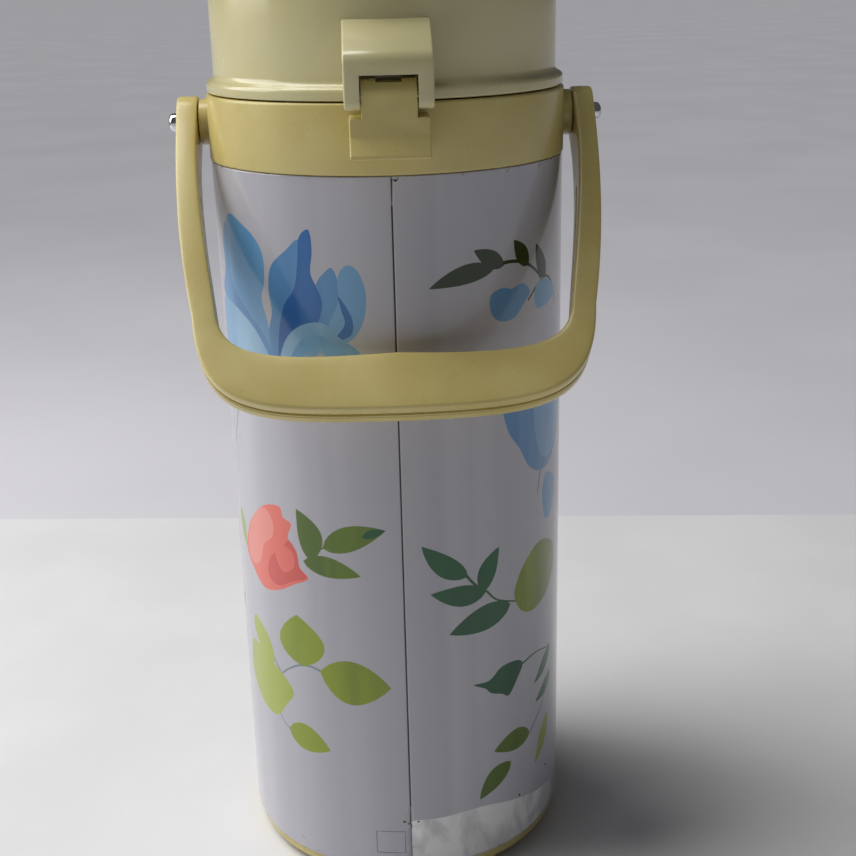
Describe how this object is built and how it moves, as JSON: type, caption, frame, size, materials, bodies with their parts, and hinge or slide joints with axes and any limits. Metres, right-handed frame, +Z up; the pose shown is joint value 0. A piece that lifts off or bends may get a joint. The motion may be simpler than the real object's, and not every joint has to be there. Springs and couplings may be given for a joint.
{
  "type": "pump pot",
  "caption": "Tall cylindrical vacuum pump pot with a printed steel shell, hinged pump lid, swinging bail handle, front spout and a swivel foot.",
  "frame": {"origin": "centre of the underside of the swivel foot, on the surface the pot stands on", "axes": "+Z up along the pot's axis, spout towards -Y, lid hinge at +Y, handle pivots along X"},
  "size_m": [0.1648, 0.2043, 0.3664],
  "materials": {
    "cream_plastic": "satin, slightly yellowed",
    "pale_cream_plastic": "gloss",
    "enamel_steel": "gloss with a printed pattern",
    "silvered_glass": "silvered",
    "inner_plastic": "satin",
    "dark_rubber": "matte",
    "pale_rubber": "matte",
    "steel": "satin",
    "chrome": "polished"
  },
  "bodies": {
    "swivel_foot": {"nonslip_pad": "dark_rubber", "turntable": "inner_plastic"},
    "pot": {"base_ring": "cream_plastic", "bottom_cap": "inner_plastic", "liner_cushion": "dark_rubber", "liner_inner": "silvered_glass", "liner_outer": "silvered_glass", "mouth_gasket": "pale_rubber", "body_shell": "enamel_steel", "delivery_pipe": "steel", "dip_tube": "steel", "tube_seal": "pale_rubber", "shoulder_ring": "cream_plastic", "spout_cover": "cream_plastic", "spout_tip": "pale_rubber", "pivot_screw_left": "chrome", "pivot_screw_right": "chrome"},
    "handle": {"handle_outer": "cream_plastic", "handle_inner": "cream_plastic"},
    "lid": {"lid_shell": "pale_cream_plastic", "hinge_pin": "steel", "latch_pin": "steel", "latch_spring": "steel", "lid_base": "inner_plastic", "lid_gasket": "pale_rubber", "air_port": "pale_rubber", "bellows": "dark_rubber", "pump_spring": "steel"},
    "plunger": {"push_plate": "pale_cream_plastic", "bellows_plate": "inner_plastic", "intake_valve": "dark_rubber"},
    "lock": {"lock_slider": "cream_plastic"},
    "latch": {"latch_lever": "cream_plastic"}
  },
  "joints": [
    {"name": "base_swivel", "type": "hinge", "parent": "swivel_foot", "child": "pot", "pos_m": [0, 0, 0], "axis": [0, 0, 1], "continuous": true},
    {"name": "handle_swing", "type": "hinge", "parent": "pot", "child": "handle", "pos_m": [0, 0, 0.2985], "axis": [1, 0, 0], "range_deg": [0, 215]},
    {"name": "lid_hinge", "type": "hinge", "parent": "pot", "child": "lid", "pos_m": [0, 0.075, 0.3126], "axis": [-1, 0, 0], "range_deg": [0, 90]},
    {"name": "pump_press", "type": "slide", "parent": "lid", "child": "plunger", "axis": [0, 0, -1], "range_m": [0, 0.02], "stiffness_N_per_m": 300, "springref_m": -0.02, "deforming": ["bellows", "pump_spring"]},
    {"name": "lock_slide", "type": "slide", "parent": "plunger", "child": "lock", "axis": [1, 0, 0], "range_m": [0, 0.0148]},
    {"name": "latch_release", "type": "hinge", "parent": "lid", "child": "latch", "pos_m": [0, -0.068, 0.326], "axis": [-1, 0, 0], "range_deg": [0, 20], "stiffness_Nm_per_rad": 0.05, "springref_deg": -11.46}
  ]
}
